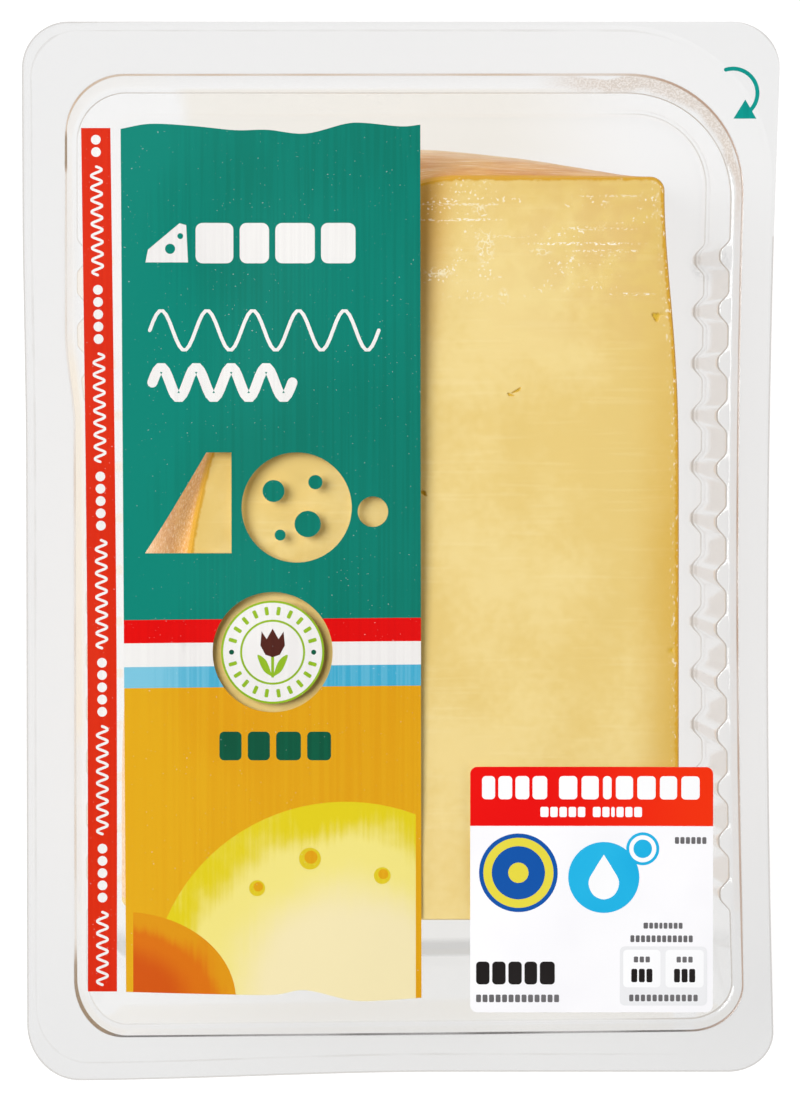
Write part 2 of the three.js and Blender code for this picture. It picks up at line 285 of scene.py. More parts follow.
def plate(name, shapes, z_top, skin, step, materials, replaces=None, backing=None):
    """A thin closed plate made of flat fields, each field one of the materials.

    shapes is a list of (material index, polygon), later ones on top; -1 cuts a window. backing
    is the material index of the whole underside, where that is of one kind.
    """
    loops = [dense(polygon, step) for _, polygon in shapes]
    everything = np.concatenate(loops)
    low, high = everything.min(0), everything.max(0)
    gx, gy = np.meshgrid(np.arange(low[0] + step / 2, high[0], step),
                         np.arange(low[1] + step / 2, high[1], step))
    flat, triangles = triangulate(loops, np.stack([gx.ravel(), gy.ravel()], 1))
    centre = flat[triangles].mean(1)
    field = np.full(len(triangles), -1)
    for material, polygon in shapes:
        field[is_inside(polygon, centre[:, 0], centre[:, 1])] = material
    triangles, field = triangles[field >= 0], field[field >= 0]
    used, triangles = np.unique(triangles, return_inverse=True)
    triangles = triangles.reshape(-1, 3)
    flat = flat[used]
    count = len(flat)
    top = at_height(flat, z_top(flat[:, 0], flat[:, 1]))
    bottom = top - (0, 0, skin)
    edges = np.concatenate([triangles[:, pair] for pair in ([0, 1], [1, 2], [2, 0])])
    owner = np.tile(np.arange(len(triangles)), 3)
    _, first, uses = np.unique(np.sort(edges), axis=0, return_index=True, return_counts=True)
    rim = first[uses == 1]
    walls = [(b, a, a + count, b + count) for a, b in edges[rim]]
    faces = list(triangles) + list(triangles[:, ::-1] + count) + walls
    under = field if backing is None else np.full(len(field), backing)
    ids = np.concatenate([field, under, field[owner[rim]]])
    piece = make_piece(name, np.concatenate([top, bottom]), faces, materials,
                       replaces, ids)
    crisp(piece, 60)
    return piece


# ---- materials ------------------------------------------------------------------------------

def operation(kind, swap=False):
    """A method that does one kind of arithmetic with a number and another one."""
    def apply(self, other):
        return self.shader.math(kind, *((other, self) if swap else (self, other)))
    return apply


class Number:
    """A number that a node of a material gives, for use in a formula."""

    def __init__(self, shader, socket):
        self.shader, self.socket = shader, socket

    __add__ = __radd__ = operation("ADD")
    __mul__ = __rmul__ = operation("MULTIPLY")
    __sub__, __rsub__ = operation("SUBTRACT"), operation("SUBTRACT", swap=True)
    __truediv__, __pow__ = operation("DIVIDE"), operation("POWER")

    def __neg__(self):
        return self * -1.0

    def __abs__(self):
        return self.shader.math("ABSOLUTE", self)


class Shader:
    """A node material, written as calls."""

    def __init__(self, name):
        self.material = bpy.data.materials.new(name)
        self.material.use_nodes = True
        self.tree = self.material.node_tree
        self.tree.nodes.clear()
        self.output = self.tree.nodes.new("ShaderNodeOutputMaterial")

    def node(self, kind, settings=None, first=(), **inputs):
        """A node with its settings, its first inputs in order, and others by name."""
        made = self.tree.nodes.new("ShaderNode" + kind)
        for name, value in (settings or {}).items():
            setattr(made, name, value)
        for number, value in enumerate(first):
            self.feed(made.inputs[number], value)
        for name, value in inputs.items():
            self.feed(made.inputs[name.replace("_", " ")], value)
        return made

    def feed(self, target, value):
        value = getattr(value, "socket", value)
        if isinstance(value, bpy.types.NodeSocket):
            self.tree.links.new(value, target)
        else:
            target.default_value = value

    def math(self, kind, a, b=0.0):
        return Number(self, self.node("Math", {"operation": kind}, (a, b)).outputs[0])

    def blend(self, factor, a, b):
        """Colour a where factor is 0, and b where it is 1."""
        made = self.node("Mix", {"data_type": "RGBA"})
        for number, value in ((0, factor), (6, a), (7, b)):
            self.feed(made.inputs[number], value)
        return made.outputs[2]

    def paint(self, colour, *coats):
        """A colour with coats over it, each given by its strength and its own colour."""
        for strength, coat in coats:
            colour = self.blend(strength, colour, coat)
        return colour

    def mixed(self, factor, a, b):
        return self.node("MixShader", first=(factor, a, b)).outputs[0]

    def attribute(self, name):
        return Number(self, self.node("Attribute", {"attribute_name": name}).outputs["Fac"])

    def facing(self):
        """0 where the surface faces the camera, and 1 where it is seen edge on."""
        return Number(self, self.node("LayerWeight", Blend=0.5).outputs["Facing"])

    def place(self, scale=(1, 1, 1), shift=(0, 0, 0)):
        """The point on the piece in millimetres, times scale and moved by shift."""
        return self.node("Mapping", Vector=self.node("TexCoord").outputs["Object"],
                         Scale=[s / MM for s in scale], Location=shift).outputs[0]

    def xyz(self):
        """The point on the piece in millimetres, as three numbers."""
        return [Number(self, out) for out in self.node("SeparateXYZ", Vector=self.place()).outputs]

    def ramp(self, value, low, high):
        """0 below low, 1 above high, smooth between."""
        made = self.node("MapRange", {"interpolation_type": "SMOOTHSTEP"}, Value=value,
                         From_Min=low, From_Max=high)
        return Number(self, made.outputs[0])

    def fall(self, value, low, high):
        """1 below low, 0 above high, smooth between."""
        return 1 - self.ramp(value, low, high)

    def line(self, distance, half_width):
        """1 on a line, where distance is 0, and 0 beyond its half width."""
        return self.fall(abs(distance) / half_width, 0.45, 1.3)

    def blob(self, x, y, half_x, half_y, core=0.5):
        """1 inside an ellipse on the plan and 0 outside it, fading from its core outwards."""
        spot = self.place((1 / half_x, 1 / half_y, 0), (-x / half_x, -y / half_y, 0))
        away = self.node("VectorMath", {"operation": "LENGTH"}, (spot,)).outputs["Value"]
        return self.fall(away, core, 1)

    def noise(self, size, detail=3.0, stretch=(1, 1, 1), rough=0.5):
        """Soft noise from 0 to 1, with patches of about size millimetres."""
        made = self.node("TexNoise", Vector=self.place([s / size for s in stretch]), Scale=1.0,
                         Detail=detail, Roughness=rough)
        return Number(self, made.outputs[0])

    def bump(self, height, strength, distance):
        return self.node("Bump", Height=height, Strength=strength,
                         Distance=distance * MM).outputs[0]

    def body(self, colour, roughness, specular, normal=None):
        """The finished material of something that light doesn't pass through."""
        made = self.node("BsdfPrincipled", Base_Color=colour, Roughness=roughness)
        if normal:
            self.feed(made.inputs["Normal"], normal)
        made.inputs["Specular IOR Level"].default_value = specular
        return self.done(made.outputs[0])

    def done(self, surface):
        self.tree.links.new(surface, self.output.inputs["Surface"])
        return self.material


def grey(value):
    return (value, value, value, 1)


def srgb(red, green, blue):
    """A colour given as it shows on screen, 0 to 255, as linear light."""
    def linear(c):
        c /= 255
        return c / 12.92 if c <= 0.04045 else ((c + 0.055) / 1.055) ** 2.4
    return (linear(red), linear(green), linear(blue), 1)


def clear_surface(s, tint, roughness, share=1.0):
    """Thin clear plastic: light goes straight through, tinted once, with a faint gloss on top."""
    gloss = s.node("BsdfGlossy", Color=grey(1), Roughness=roughness).outputs[0]
    mirrored = (0.035 + 0.6 * s.facing() ** 5) * share
    seen = s.mixed(mirrored, s.node("BsdfTransparent", Color=tint).outputs[0], gloss)
    plain = s.node("BsdfTransparent", Color=grey(0.99)).outputs[0]
    return s.done(s.mixed(s.node("NewGeometry").outputs["Backfacing"], seen, plain))


def let_light_through(piece):
    """Clear plastic neither shades what is under it nor stops the light that comes off it."""
    piece.visible_shadow = False
    piece.visible_diffuse = False


def film_plastic():
    s = Shader("film_clear")
    return clear_surface(s, s.blend(s.facing() ** 3, grey(0.97), (0.80, 0.80, 0.79, 1)), 0.05)


def tray_plastic():
    """Clear drawn plastic, with painted shade on its wall facets and bends, and painted cheese
    reflections.
    """
    s = Shader("tray_clear")
    x, y, _ = s.xyz()
    rim, ledge, foot, edge, press, unsealed, facet, patch, fleck, crease_at = map(s.attribute, (
        "rim", "ledge", "foot", "edge", "press", "unsealed", "facet", "patch", "fleck", "crease"))
    right, left, back = s.ramp(x, 45, 70), s.ramp(-x, 50, 66), s.ramp(y, 96, 106)
    front = s.ramp(-y, 98, 108) * (1 - 0.8 * s.ramp(x, 64, 76))

    # Painted shade: the tint is lighter at the right and inside the mouth, and darkest in front.
    shaded = s.ramp(-y, 60, 135)
    side = s.blend(s.ramp(x, -20, 80), grey(0.84), grey(0.87))
    inside = s.blend(shaded, grey(0.89), grey(0.85))

    # The slope between the rim and the ledge: cream on the left, frosted at the peel corner.
    slope = s.ramp(rim, 0, 0.4) * s.fall(rim, 2.6, 4.6)
    middle = s.ramp(y, -48, -40) * s.fall(y, 42, 54)
    # Painted reflection of the cheese: cream at the back of the mouth.
    cream = s.ramp(y, 88, 98) * s.ramp(rim, 3.6, 4.8) * s.ramp(x, -55, -50) * s.fall(x, 20, 60)
    ragged = rim + 6 * (s.noise(9, 1.0) - 0.5)
    frost = (s.ramp(ragged, -0.4, 0.8) * s.fall(ragged, 3, 5.6) * s.ramp(rim, -0.3, 0.2)
             * s.ramp(x, 30, 46) * s.ramp(y, 72, 90))
    speckle = s.ramp(s.noise(0.42, 0.0), 0.40, 0.64)
    dots = s.blob(74.3, 68.3, 4.2, 4.6, 0.6) * (1 - speckle)
    # Painted shade: a grey band along the floor's edge in front.
    front_foot_shade = s.line(foot - 1.2, 2.4) * s.ramp(-y, 92, 97)
    # Painted shade on the facets and on the slope at the right and front; the warm tints are a
    # painted reflection of the cheese.
    tint = s.paint(
        s.blend(shaded, side, grey(0.80)),
        (s.ramp(rim, 0, 5), inside),
        (facet * right, (0.76, 0.71, 0.665, 1)),
        (0.6 * facet * left, (0.90, 0.80, 0.66, 1)),
        (0.6 * slope * (right + front), grey(0.80)),
        (slope * left * (0.12 + 0.6 * middle), (0.93, 0.85, 0.72, 1)),
        (cream, (0.86, 0.835, 0.785, 1)),
        (frost, s.blend(speckle, (0.72, 0.65, 0.59, 1), (0.82, 0.77, 0.73, 1))),
        (0.4 * dots, grey(0.62)),
        (0.9 * front_foot_shade, grey(0.66)),
    )

    # Painted shade in lines at the rim, ledge, floor's edge and outer edge, and the two seal lines.
    # Painted reflection of the cheese: the rim line's tan and brown, darker at two corners.
    painted_corner_reflection = s.blob(-74, -106, 11, 16) + s.blob(-79, 94.5, 4, 6)
    tan, brown, dark = (0.62, 0.48, 0.36, 1), (0.50, 0.35, 0.26, 1), (0.20, 0.19, 0.19, 1)
    rim_shade_colour = s.paint(tan, (right, brown), (front, dark), (painted_corner_reflection, (0.34, 0.25, 0.17, 1)))
    seal_pen, bend_shade_colour = (0.55, 0.52, 0.49, 1), (0.53, 0.49, 0.45, 1)
    rim_shade = 0.55 * (right + back) + 0.65 * front + 0.25 * left + 0.4 * patch + 0.6 * painted_corner_reflection
    ledge_shade = (0.6 + 0.35 * crease_at) * (0.2 + right + 0.9 * back + 0.3 * left)
    foot_shade = right * (0.35 + 0.35 * crease_at + 0.25 * fleck)
    tint = s.paint(
        tint,
        (s.line(rim, 0.34 + 0.2 * painted_corner_reflection) * rim_shade, rim_shade_colour),
        (s.line(ledge, 0.3) * ledge_shade, bend_shade_colour),
        (s.line(foot, 0.25 + 0.2 * crease_at) * foot_shade, bend_shade_colour),
        (0.75 * s.line(edge, 0.4), seal_pen),
        (0.3 * unsealed, grey(0.80)),
        (0.2 * s.line(press, 0.3) * (0.3 + fleck) * (1 - 0.9 * right), seal_pen),
    )
    bent = s.ramp(rim, -1, -0.3) * s.fall(foot, 0.5, 3)
    return clear_surface(s, tint, 0.08, bent)


def ink(name, dark, light, painted_left_light=0.0):
    """A field of print: uneven colour, fine lines along the web, tiny pinholes, and painted light
    at the left.
    """
    s = Shader(name)
    x, _, _ = s.xyz()
    # The tone carries painted light: lighter towards the left.
    tone = (0.45 * s.ramp(s.noise(38, 1.0), 0.35, 0.65)
            + 0.4 * s.ramp(s.noise(0.9, 1.0, (1, 0.012, 1)), 0.35, 0.65)
            + painted_left_light * s.ramp(-x, 36, 68))
    pinholes = s.ramp(s.noise(0.35, 0.0), 0.835, 0.865)
    colour = s.paint(srgb(*dark), (tone, srgb(*light)), (0.5 * pinholes, srgb(235, 240, 238)))
    return s.body(colour, 0.4, 0.12)


def hill_ink(name, centre, half, tones):
    """Print that shades from its middle to its rim, in three tones at growing distance."""
    s = Shader(name)
    inner, outer, edge = (srgb(*tone) for tone in tones)
    uneven = s.noise(14, 3.0) + 0.4 * s.noise(0.9, 2.0, (1, 0.012, 1)) - 0.7
    away = 1 - s.blob(*centre, *half, core=0.0) + 0.25 * uneven
    colour = s.paint(inner, (s.ramp(away, 0.35, 0.8), outer), (s.ramp(away, 0.86, 1), edge))
    return s.body(colour, 0.4, 0.12)


# Rows of pale crystals that the wire left on the cut face: x from, x to, y, strength.
STREAKS = [(4, 26, 82.2, 0.5), (2, 26, 78.6, 0.8), (26, 60, 72.9, 1.0), (37, 60, 71.2, 0.7),
           (48, 61, 61.0, 0.9), (14, 33, 74.6, 0.3), (40, 59, 84.2, 0.4), (36, 59, 76.4, 0.4)]
# Small scars with pale edges: x, y, half width along x and along y.
SCARS = [(20.0, 72.6, 3.0, 5.6), (24.3, 60.2, 1.6, 2.8), (9.0, 66.2, 4.6, 1.6),
         (33.0, 71.0, 3.4, 1.2), (18.6, 81.0, 2.2, 1.8)]


def cut_cheese():
    """The cut faces: pale yellow paste, darker beside the rind.

    The upper one has a painted shadow of the print beside it, with rows of crystals from the wire
    and scars.
    """
    s = Shader("cheese_cut")
    x, y, z = s.xyz()
    on_top = s.ramp(z, 32, 36)
    fine = s.noise(2.2, 3.0)
    cloud = s.ramp(s.noise(40, 3.0) + 0.25 * (fine - 0.5), 0.36, 0.64)
    wire = s.ramp(s.noise(1.1, 1.0, (0.05, 1, 1)), 0.56, 0.7)
    tan = s.ramp(x, 5, 60) * s.ramp(y, 30, 80) * s.ramp(s.noise(7, 4.0), 0.38, 0.62)

    rim = s.attribute("rind_depth") + 1.2 * (s.noise(1.3, 3.0) - 0.5)
    ripe = s.fall(rim, 0, 13) * (0.25 + 0.55 * s.ramp(x, 30, 62) * s.ramp(-y, -70, 10))
    # Painted shadow of the print on the paste, widest at the back.
    beside = (x - FIELD_RIGHT) / (2 + 9 * s.ramp(y, 10, 90))
    strip = s.fall(beside, 0.1, 1) * s.ramp(x, 3, 4) * s.ramp(y, 25, 85) * on_top

    specks = s.ramp(s.noise(0.75, 1.0, (1, 1.5, 1)), 0.5, 0.6)
    spread = s.ramp(y, 56, 66) * s.ramp(s.noise(5.5, 2.0, (0.6, 1.6, 1)), 0.5, 0.66)
    flecks = (s.fall(rim, 0.6, 2.6) * s.ramp(x, 56, 62)
              * s.ramp(s.noise(0.9, 2.0, (1.6, 0.7, 1)), 0.60, 0.68))
    crystals = 0.75 * s.ramp(s.noise(0.8, 1.0), 0.62, 0.68) * spread + 0.6 * flecks
    for start, stop, at, strength in STREAKS:
        row = s.blob((start + stop) / 2, at, (stop - start) / 2, 0.42, 0.55)
        crystals += strength * row * specks
    veins = s.fall(abs(s.noise(1.7, 3.0) - 0.5), 0.015, 0.06)
    scars = sum(s.blob(*scar, 0.3) for scar in SCARS) * veins

    colour = s.paint(
        srgb(230, 200, 120),
        (cloud, srgb(238, 213, 142)),
        (0.13 * wire, srgb(246, 228, 170)),
        (0.8 * tan, srgb(224, 188, 116)),
        (ripe, srgb(214, 170, 62)),
        (0.8 * strip, srgb(204, 150, 56)),
        (0.9 * s.fall(rim, 0.3, 0.85), srgb(210, 156, 22)),
        (0.65 * scars * on_top, srgb(248, 238, 205)),
        (crystals * on_top, srgb(252, 244, 222)),
        (0.9 * s.attribute("hollow"), srgb(214, 176, 36)),
    )
    relief = 0.5 * s.noise(3.0, 1.0, (0.25, 1, 1)) + 0.5 * fine
    return s.body(colour, 0.42 + 0.2 * fine, 0.3, s.bump(relief, 0.3, 0.3))


def rind():
    """The rind: ochre beside the cut, orange-brown below it and paler near its foot."""
    s = Shader("cheese_rind")
    up = s.attribute("up")
    fibres = s.noise(1.0, 3.0, (0.1, 1.1, 1.6), 0.7)
    colour = s.paint(
        srgb(220, 146, 56),
        (s.ramp(s.noise(14, 4.0), 0.3, 0.7), srgb(234, 174, 88)),
        (0.8 * s.fall(up, 0.1, 0.85), srgb(242, 212, 172)),
        (0.5 * s.ramp(fibres, 0.5, 0.62), srgb(206, 132, 52)),
        (0.5 * s.fall(fibres, 0.36, 0.47), srgb(252, 232, 200)),
        (0.9 * s.ramp(up, 0.955, 0.985), srgb(216, 160, 30)),
    )
    return s.body(colour, 0.42, 0.35, s.bump(fibres, 0.5, 0.25))


def paper(name, light, dark, towards_right=None):
    """Coated label stock with a faint tooth, whose colour may shift towards its right side."""
    s = Shader(name)
    tooth = s.noise(0.5, 4.0)
    shade = 0.7 * s.ramp(s.noise(22, 2.0), 0.35, 0.7) + 0.3 * tooth
    colour = s.blend(shade, srgb(*light), srgb(*dark))
    if towards_right:
        x, _, _ = s.xyz()
        colour = s.blend(s.ramp(x, 30, 76), colour, srgb(*towards_right))
    return s.body(colour, 0.35, 0.2, s.bump(tooth, 0.1, 0.02))


# ---- tray -----------------------------------------------------------------------------------

def crease(y):
    """How far a long wall stands in at y: 1 at a crease, 0 on a fold and past the ends."""
    along = (y - FOLDS_FROM) / FOLD_PITCH
    away = np.abs(along - np.round(along)) * FOLD_PITCH
    within = (y > FOLDS_FROM - FOLD_PITCH / 2) & (y < FOLDS_TO + FOLD_PITCH / 2)
    return within * (1 - smooth((away - FOLD_VALLEY) / FOLD_RAMP))


def facets(y, up):
    """Where the corrugated wall gets painted shade on a facet: y, and the height from 0 to 1."""
    along = (y - FOLDS_FROM) / FOLD_PITCH
    in_crease = (along - np.round(along)) * FOLD_PITCH
    in_fold = (along - np.floor(along) - 0.5) * FOLD_PITCH
    slant = smooth((20 - y) / 30)

    def between(low, high, value, soft=0.5):
        return smooth((value - low) / soft + 0.5) * smooth((high - value) / soft + 0.5)

    fold = (between(-3.9, 3.5 - 5.5 * slant * (1 - up), in_fold)
            * between(-3.9 - 9 * (up - 0.22), 9, in_fold, 2.0) * smooth((up - 0.24) / 0.1))
    valley = between(-1.2 - 1.6 * up, 1.0 + 0.9 * up * (1 - slant), in_crease)
    within = smooth((y - FOLDS_FROM + 2) / 2) * smooth((FOLDS_TO + 3 - y) / 2)
    return within * np.maximum(fold, 0.85 * valley)


def fillet(rings, cuts, steps):
    """Rounds a profile given as rings: cuts[k] is how far ring k's corner is cut back.

    Also returns the number of the ring at the middle of each rounding.
    """
    out, middles = [rings[0]], [0]
    for k in range(1, len(rings) - 1):
        if not cuts[k]:
            middles.append(len(out))
            out.append(rings[k])
            continue
        reach = []
        for arm in (rings[k - 1] - rings[k], rings[k + 1] - rings[k]):
            length = np.linalg.norm(arm, axis=1, keepdims=True)
            reach.append(rings[k] + arm / length * np.minimum(cuts[k], 0.45 * length))
        middles.append(len(out) + steps // 2)
        for t in np.linspace(0, 1, steps + 1):
            out.append(mix(mix(reach[0], rings[k], t), mix(rings[k], reach[1], t), t))
    return out + [rings[-1]], middles


def ring_normals(rings):
    """Normals of a surface given as rings that run anticlockwise, from the outside inwards."""
    grid = np.array(rings)

    def unit(v):
        return v / np.maximum(np.linalg.norm(v, axis=-1, keepdims=True), 1e-9)

    around = unit(np.roll(grid, -1, 1) - grid) + unit(grid - np.roll(grid, 1, 1))
    step = unit(np.diff(grid, axis=0))
    inward = np.concatenate([step[:1], step[:-1] + step[1:], step[-1:]])
    normal = unit(np.cross(around, inward))
    normal[0] = normal[-1] = (0, 0, 1)
    return normal


def tray_rings():
    """The tray's upper surface as rings, from the flange's edge to the middle of the floor.

    With them come values at each point: the distance along the profile from the outer edge, the
    press line, the rim, the ledge and the floor's edge, and what the surface shows there.
    """
    ys = np.arange(FOLDS_FROM - FOLD_RUN_OUT, FOLDS_TO + FOLD_RUN_OUT + 0.1, FOLD_STATION)
    corner_steps, end_steps = 20, 40

    def ring(box, radii, z, draw=MOUTH_DRAW):
        return at_height(rounded(box, radii, ys, corner_steps, end_steps, draw), z)

    def wall(depth):
        right, left, front = MOUTH_DRAW
        return (lambda y: right(y) + depth * crease(y), lambda y: left(y) + depth * crease(y),
                front)

    top, floor_z = FLANGE_TOP, TRAY_SKIN
    seal = inset(PACK, SEAL_INSET)
    seal_corners = (PEEL_RADIUS,) + shrink(PACK_CORNERS, SEAL_INSET)[1:]
    press = inset(PACK, PRESS_IN)
    press_corners = (PEEL_RADIUS - 1,) + PACK_CORNERS[1:]
    edge = ring(PACK, PACK_CORNERS, top, PACK_DRAW)
    peel = np.sin(np.linspace(0, math.pi, corner_steps + 1))
    edge[len(ys):len(ys) + corner_steps + 1, 2] -= PEEL_DROP * peel
    step = inset(MOUTH, STEP_IN)
    floor = inset(MOUTH, FLOOR_IN)
    ledge = ring(inset(MOUTH, LEDGE_IN), shrink(MOUTH_CORNERS, LEDGE_IN[0]),
                 top - STEP_DEPTH - LEDGE_FALL, wall(FOLD_DEPTH_TOP))
    foot_wall = wall(FOLD_DEPTH_FLOOR)
    foot = ring(floor, FLOOR_CORNERS, floor_z, foot_wall)
    shares = np.linspace(0, 1, WALL_RINGS + 2)[1:-1]
    rings = [
        edge,
        ring(seal, seal_corners, top, PACK_DRAW),
        ring(inset(seal, 0.15), shrink(seal_corners, 0.15), top, PACK_DRAW),
        ring(press, press_corners, top, PACK_DRAW),
        ring(MOUTH, MOUTH_CORNERS, top),
        ring(step, shrink(MOUTH_CORNERS, STEP_IN[0]), top - STEP_DEPTH),
        ledge, *[mix(ledge, foot, t) for t in shares], foot,
        ring(inset(floor, 4), shrink(FLOOR_CORNERS, 4), floor_z, foot_wall),
    ]
    cuts = [0] * 4 + [RIM_ROUND, STEP_ROUND, LEDGE_ROUND] + [0] * WALL_RINGS + [FOOT_ROUND, 0]
    rings, middles = fillet(rings, cuts, 6)
    middle = np.array([(floor["right"] + floor["left"]) / 2,
                       (floor["back"] + floor["front"]) / 2, floor_z])
    rings += [mix(rings[-1], middle, t) for t in FLOOR_SHARES]
    grid = np.array(rings)
    steps = np.linalg.norm(np.diff(grid, axis=0), axis=2)
    along = np.concatenate([np.zeros((1, steps.shape[1])), np.cumsum(steps, axis=0)])
    lines = {"edge": 0, "press": middles[3], "rim": middles[4], "ledge": middles[6],
             "foot": middles[7 + WALL_RINGS]}
    values = {name: along - along[number] for name, number in lines.items()}
    values["unsealed"] = (np.arange(len(rings)) < 2)[:, None] + 0 * along
    x, y, z = grid[..., 0], grid[..., 1], grid[..., 2]
    up = (z - floor_z) / (ledge[0, 2] - floor_z)
    row = np.arange(len(rings))[:, None]
    on_wall = (row >= middles[6]) & (row <= middles[7 + WALL_RINGS] + 1)
    at_side = smooth((np.abs(x) - 60) / 5)
    # Painted shade on the facets of the corrugated walls.
    values["facet"] = on_wall * facets(y, up) * at_side
    values["crease"] = crease(y) * at_side
    around = grid[middles[4]]
    for name, size, seed in (("patch", 26, 5.0), ("fleck", 10, 8.0)):
        values[name] = 0 * along + smooth(0.5 + 0.9 * lump(around[:, 0], around[:, 1], size, seed))
    return rings, values


def make_tray(material):
    upper, values = tray_rings()
    lower = [r - TRAY_SKIN * n for r, n in zip(upper, ring_normals(upper))]
    rings = lower[::-1] + upper
    n = len(rings[0])
    verts = np.concatenate(rings)
    verts[:, 2] = np.maximum(verts[:, 2], 0)
    last = (len(rings) - 1) * n
    faces = list(ring_faces(len(rings), n)) + [np.arange(n)[::-1], np.arange(last, last + n)]
    piece = make_piece("tray_shell", verts, faces, [material], "tray")
    let_light_through(piece)
    for name, value in values.items():
        add_attribute(piece, name, np.concatenate([value[::-1], value]).ravel())
    crisp(piece, 60)


def add_attribute(piece, name, values):
    layer = piece.data.attributes.new(name, "FLOAT", "POINT")
    layer.data.foreach_set("value", np.asarray(values, np.float32))


# ---- film and its print ---------------------------------------------------------------------

def film_z(x, y):
    """The film's upper face: flat on the flange, sagging and slightly rippled inside it."""
    width, length = MOUTH["right"] - MOUTH["left"], MOUTH["back"] - MOUTH["front"]
    across = np.minimum(x - MOUTH["left"], MOUTH["right"] - x) / width
    along = np.minimum(y - MOUTH["front"], MOUTH["back"] - y) / length
    sag = FILM_SAG * smooth(across / SAG_ACROSS) * smooth(along / SAG_ALONG)
    loose = smooth(across / 0.06) * smooth(along / 0.05)
    ripple = 0.16 * loose * (np.sin(x / 7.0 + 1.3 * np.sin(y / 31.0)) * np.cos(y / 23.0 + 0.6))
    return FLANGE_TOP + FILM_GAP + FILM_SKIN - sag + ripple


def circle(cx, cy, radius, n=48):
    a = np.linspace(0, 2 * math.pi, n, endpoint=False)
    return np.stack([cx + radius * np.cos(a), cy + radius * np.sin(a)], 1)


def bar(x0, y0, x1, y1, radius=None):
    """A rectangle with rounded corners, given by two opposite corners."""
    box = {"right": max(x0, x1), "left": min(x0, x1), "back": max(y0, y1), "front": min(y0, y1)}
    most = min(box["right"] - box["left"], box["back"] - box["front"]) / 2
    r = 0.98 * most if radius is None else min(radius, 0.98 * most)
    ys = np.array([mix(box["front"], box["back"], 0.5)])
    return rounded(box, (r,) * 4, ys, 5, 2)


def blocks(x0, x1, low, high, lengths, gap, radius=None):
    """A row of bars from x0, whose lengths and gaps are scaled to end at x1."""
    scale = (x1 - x0) / (sum(lengths) + gap * (len(lengths) - 1))
    out, x = [], x0
    for length in lengths:
        out.append(bar(x, low, x + length * scale, high, radius))
        x += (length + gap) * scale
    return out


def ribbon(points, width):
    """A line of some width along points, with round ends."""
    points = np.asarray(points, float)
    along = np.gradient(points, axis=0)
    along /= np.linalg.norm(along, axis=1, keepdims=True)
    side = np.stack([-along[:, 1], along[:, 0]], 1) * width / 2

    def cap(at, out, away):
        a = np.linspace(0, math.pi, 7)[1:-1, None]
        return at + out * np.cos(a) + away * np.sin(a) * width / 2

    return np.concatenate([points + side, cap(points[-1], side[-1], along[-1]),
                           (points - side)[::-1], cap(points[0], -side[0], -along[0])])


def wave(start, stop, height, length, width, per_wave=14):
    """A wavy line from start to stop."""
    start, stop = np.asarray(start, float), np.asarray(stop, float)
    run = np.linalg.norm(stop - start)
    along = (stop - start) / run
    waves = max(1, round(run / length))
    t = np.linspace(0, 1, waves * per_wave + 1)[:, None]
    side = np.array([-along[1], along[0]])
    return ribbon(start + along * run * t + side * height / 2 * np.sin(2 * math.pi * waves * t),
                  width)


def curve_through(points, per_span=6):
    """A smooth line through a few points, as a list of points."""
    points = np.asarray(points, float)
    padded = np.concatenate([2 * points[:1] - points[1:2], points, 2 * points[-1:] - points[-2:-1]])
    out = []
    for a, b, c, d in zip(padded, padded[1:], padded[2:], padded[3:]):
        for t in np.arange(per_span) / per_span:
            out.append(0.5 * (2 * b + (c - a) * t + (2 * a - 5 * b + 4 * c - d) * t ** 2
                              + (3 * b - a - 3 * c + d) * t ** 3))
    return np.array(out + [points[-1]])


def turned(points, centre, angle):
    c, s = math.cos(angle), math.sin(angle)
    points = np.asarray(points, float)
    return np.stack([centre[0] + c * points[:, 0] - s * points[:, 1],
                     centre[1] + s * points[:, 0] + c * points[:, 1]], 1)


# The inks: the darker tone, the lighter tone, and how much painted light lightens them at the left.
INKS = {
    "green": ((0, 116, 99), (2, 130, 114), 0.9),
    "red": ((218, 0, 0), (228, 4, 1)),
    "white": ((232, 229, 227), (242, 240, 237)),
    "blue": ((62, 166, 200), (122, 194, 218), 0.8),
    "amber": ((219, 154, 12), (224, 168, 22), 0.5),
    "yellow": ((216, 190, 30), (224, 202, 40)),
    "dark": ((4, 80, 56), (8, 96, 68)),
    "lime": ((138, 178, 30), (156, 192, 44)),
    "brown": ((74, 30, 22), (88, 38, 28)),
    "teal": ((0, 140, 130), (6, 158, 148)),
    "strip": ((210, 36, 4), (218, 44, 8)),
    "backing": ((226, 224, 220), (236, 234, 230)),
}
# The two hills on the amber field: middle, half width and height, and their three tones.
HILL_INKS = {
    "pale": ((-13, -104), (46, 45), ((240, 226, 178), (238, 224, 128), (222, 202, 26))),
    "orange": ((-66, -106), (27, 21), ((206, 84, 10), (216, 112, 12), (220, 148, 16))),
}
INK = {name: number for number, name in enumerate([*INKS, *HILL_INKS])}
CLEAR = -1

